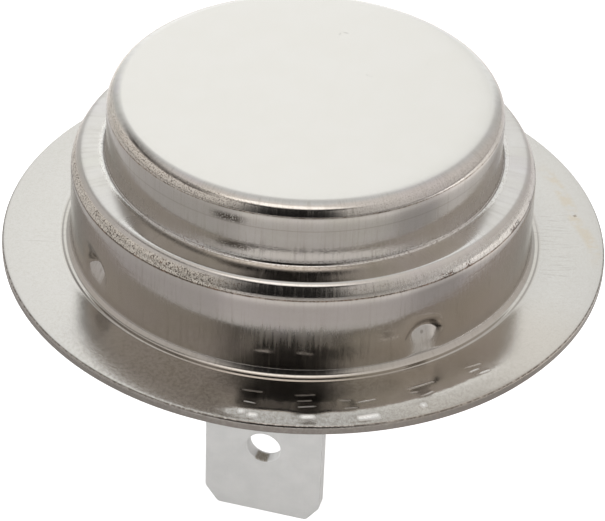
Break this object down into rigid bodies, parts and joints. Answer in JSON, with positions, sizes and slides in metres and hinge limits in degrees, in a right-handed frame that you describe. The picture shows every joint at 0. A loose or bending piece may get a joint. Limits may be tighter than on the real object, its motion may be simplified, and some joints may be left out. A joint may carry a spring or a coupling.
{
  "type": "ntc temperature sensor",
  "caption": "Disc temperature sensor: a drawn, plated metal cup with a sensing cap, a wide step and a flange, closed by a moulded base with spade tabs.",
  "frame": {"origin": "on the cup's axis, in the plane of the flange's upper face, which seats against the panel or duct", "axes": "+Z out of the sensing cap, along the cup's axis; -Y towards the front tab; X along the width of the tabs"},
  "size_m": [0.0313, 0.0312, 0.0228],
  "materials": {
    "cup_plate": "nickel plated drawn sheet, bright with fine draw lines",
    "base_moulding": "black phenolic moulding, satin",
    "tab_plate": "matt tin plated brass strip",
    "rivet_metal": "plain brass, slightly dull",
    "spring_bronze": "phosphor bronze strip",
    "contact_brass": "brass strip",
    "thermistor_ceramic": "sintered ceramic with silvered faces",
    "carrier_moulding": "off-white pressed ceramic",
    "film": "amber insulating film"
  },
  "bodies": {
    "root": {"sensor_cup": "cup_plate", "insulating_base": "base_moulding", "terminal_front": "tab_plate", "terminal_back": "tab_plate", "rivet_front": "rivet_metal", "rivet_back": "rivet_metal", "contact_spring": "spring_bronze", "contact_plate": "contact_brass", "thermistor_disc": "thermistor_ceramic", "thermistor_carrier": "carrier_moulding", "insulating_film": "film"}
  },
  "joints": []
}
